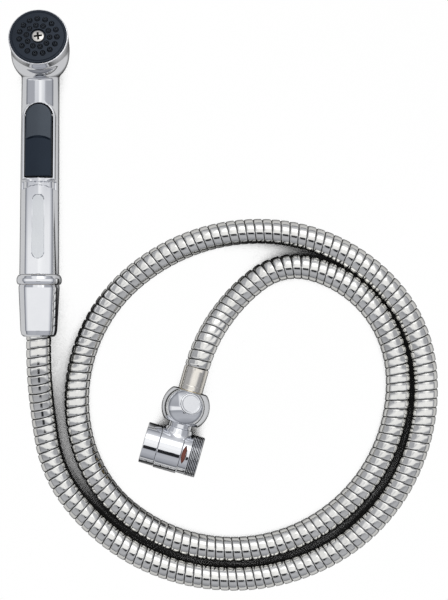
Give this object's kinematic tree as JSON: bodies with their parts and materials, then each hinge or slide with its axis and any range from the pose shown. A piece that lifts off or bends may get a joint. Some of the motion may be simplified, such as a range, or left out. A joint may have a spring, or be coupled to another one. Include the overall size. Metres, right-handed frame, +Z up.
{
  "type": "handheld bath sprayer",
  "caption": "Handheld bath sprayer with a thumb lever and nubbed face on a coiled metal hose, with a swivelling ball diverter tee that screws to a tap.",
  "frame": {"origin": "centre of the mouth of the tee's female collar, on the tee's axis", "axes": "+Z up from the surface the object lies on; +Y runs up the sprayer's handle towards its head; +X to the right of the handle"},
  "size_m": [0.2445, 0.3318, 0.0374],
  "materials": {
    "chrome": "polished",
    "hose_steel": "polished interlocked strip",
    "sleeve_satin": "satin",
    "black_soft": "soft matt",
    "black_plastic": "satin moulded",
    "brass": "machined",
    "steel": "bright",
    "seal": "moulded",
    "liner": "extruded",
    "fibre": "fibre"
  },
  "bodies": {
    "hose_coil": {"hose_cover_coil": "hose_steel", "hose_liner_coil": "liner"},
    "hose_rise": {"hose_cover_rise": "hose_steel", "hose_liner_rise": "liner"},
    "hose_swing": {"hose_cover_swing": "hose_steel", "hose_liner_swing": "liner"},
    "hose_lead": {"hose_cover_lead": "hose_steel", "hose_liner_lead": "liner", "hose_end_flange": "brass", "hose_washer": "seal"},
    "sprayer": {"sprayer_body": "chrome", "spray_face": "black_soft", "face_screw": "chrome", "face_gasket": "seal", "flow_disc": "steel", "valve_block": "brass", "valve_block_orings": "seal", "stem_guide": "brass", "stem_oring": "seal", "lever_pin": "steel", "trim_ring": "chrome", "inlet_spigot": "brass", "spigot_oring": "seal", "check_valve_cage": "black_plastic"},
    "lever": {"thumb_lever": "black_plastic"},
    "stem": {"valve_stem": "steel", "valve_washer": "seal", "valve_spring": "steel"},
    "poppet": {"check_valve_poppet": "black_plastic", "check_valve_spring": "steel"},
    "nut": {"cone_nut": "chrome"},
    "hose_inner": {"hose_cover_inner": "hose_steel", "hose_liner_inner": "liner"},
    "hose_tail": {"hose_cover_tail": "hose_steel", "hose_liner_tail": "liner", "hose_sleeve": "sleeve_satin", "hose_barb": "brass", "barb_oring": "seal"},
    "ball": {"diverter_ball": "chrome", "ball_cap": "chrome", "diverter_spool": "brass", "spool_orings": "seal"},
    "tee": {"tee_body": "chrome", "outlet_adapter": "chrome", "spool_clip": "steel", "fibre_washer": "fibre", "inlet_washer": "seal", "collar_clip": "steel"},
    "collar": {"inlet_collar": "chrome"}
  },
  "joints": [
    {"name": "hose_rise_lift", "type": "hinge", "parent": "hose_coil", "child": "hose_rise", "pos_m": [0.10995, -0.06274, -0.0068], "axis": [-0.5103, 0.86, 0], "range_deg": [0, 22]},
    {"name": "hose_swing_side", "type": "hinge", "parent": "hose_rise", "child": "hose_swing", "pos_m": [0.02441, -0.07581, -0.0068], "axis": [0, 0, 1], "range_deg": [-2, 20]},
    {"name": "hose_lead_lift", "type": "hinge", "parent": "hose_swing", "child": "hose_lead", "pos_m": [-0.0512, -0.01575, -0.0068], "axis": [0.926, 0.3776, 0], "range_deg": [0, 22]},
    {"name": "sprayer_swivel", "type": "hinge", "parent": "hose_lead", "child": "sprayer", "pos_m": [-0.05999, 0.06965, 0], "axis": [0.007, 1, 0], "continuous": true},
    {"name": "nut_turn", "type": "hinge", "parent": "sprayer", "child": "nut", "pos_m": [-0.05996, 0.07495, 0], "axis": [0.007, 1, 0], "continuous": true},
    {"name": "lever_press", "type": "hinge", "parent": "sprayer", "child": "lever", "pos_m": [-0.05918, 0.18595, 0.0082], "axis": [1, -0.007, 0], "range_deg": [0, 5]},
    {"name": "stem_slide", "type": "slide", "parent": "sprayer", "child": "stem", "axis": [0, 0, -1], "range_m": [0, 0.00201], "deforming": ["valve_spring"]},
    {"name": "check_valve_slide", "type": "slide", "parent": "sprayer", "child": "poppet", "axis": [0.007, 1, 0], "range_m": [0, 0.002]},
    {"name": "hose_inner_lift", "type": "hinge", "parent": "hose_coil", "child": "hose_inner", "pos_m": [0.09671, 0.09916, -0.0068], "axis": [0.2641, 0.9645, 0], "range_deg": [0, 22]},
    {"name": "hose_tail_side", "type": "hinge", "parent": "hose_inner", "child": "hose_tail", "pos_m": [0.05469, 0.08373, -0.0068], "axis": [0, 0, 1], "range_deg": [-12, 12]},
    {"name": "ball_swivel", "type": "hinge", "parent": "hose_tail", "child": "ball", "pos_m": [0.02592, 0.0269, 0], "axis": [0.2756, 0.9613, 0], "continuous": true},
    {"name": "tee_turn", "type": "hinge", "parent": "ball", "child": "tee", "pos_m": [0.01903, 0.00287, 0], "axis": [0.2756, 0.9613, 0], "range_deg": [-90, 90]},
    {"name": "collar_spin", "type": "hinge", "parent": "tee", "child": "collar", "pos_m": [0.00673, -0.00193, 0], "axis": [0.9613, -0.2756, 0], "continuous": true}
  ],
  "couplings": [
    {"joint": "stem_slide", "follows": "lever_press", "m_per_rad": 0.023}
  ]
}
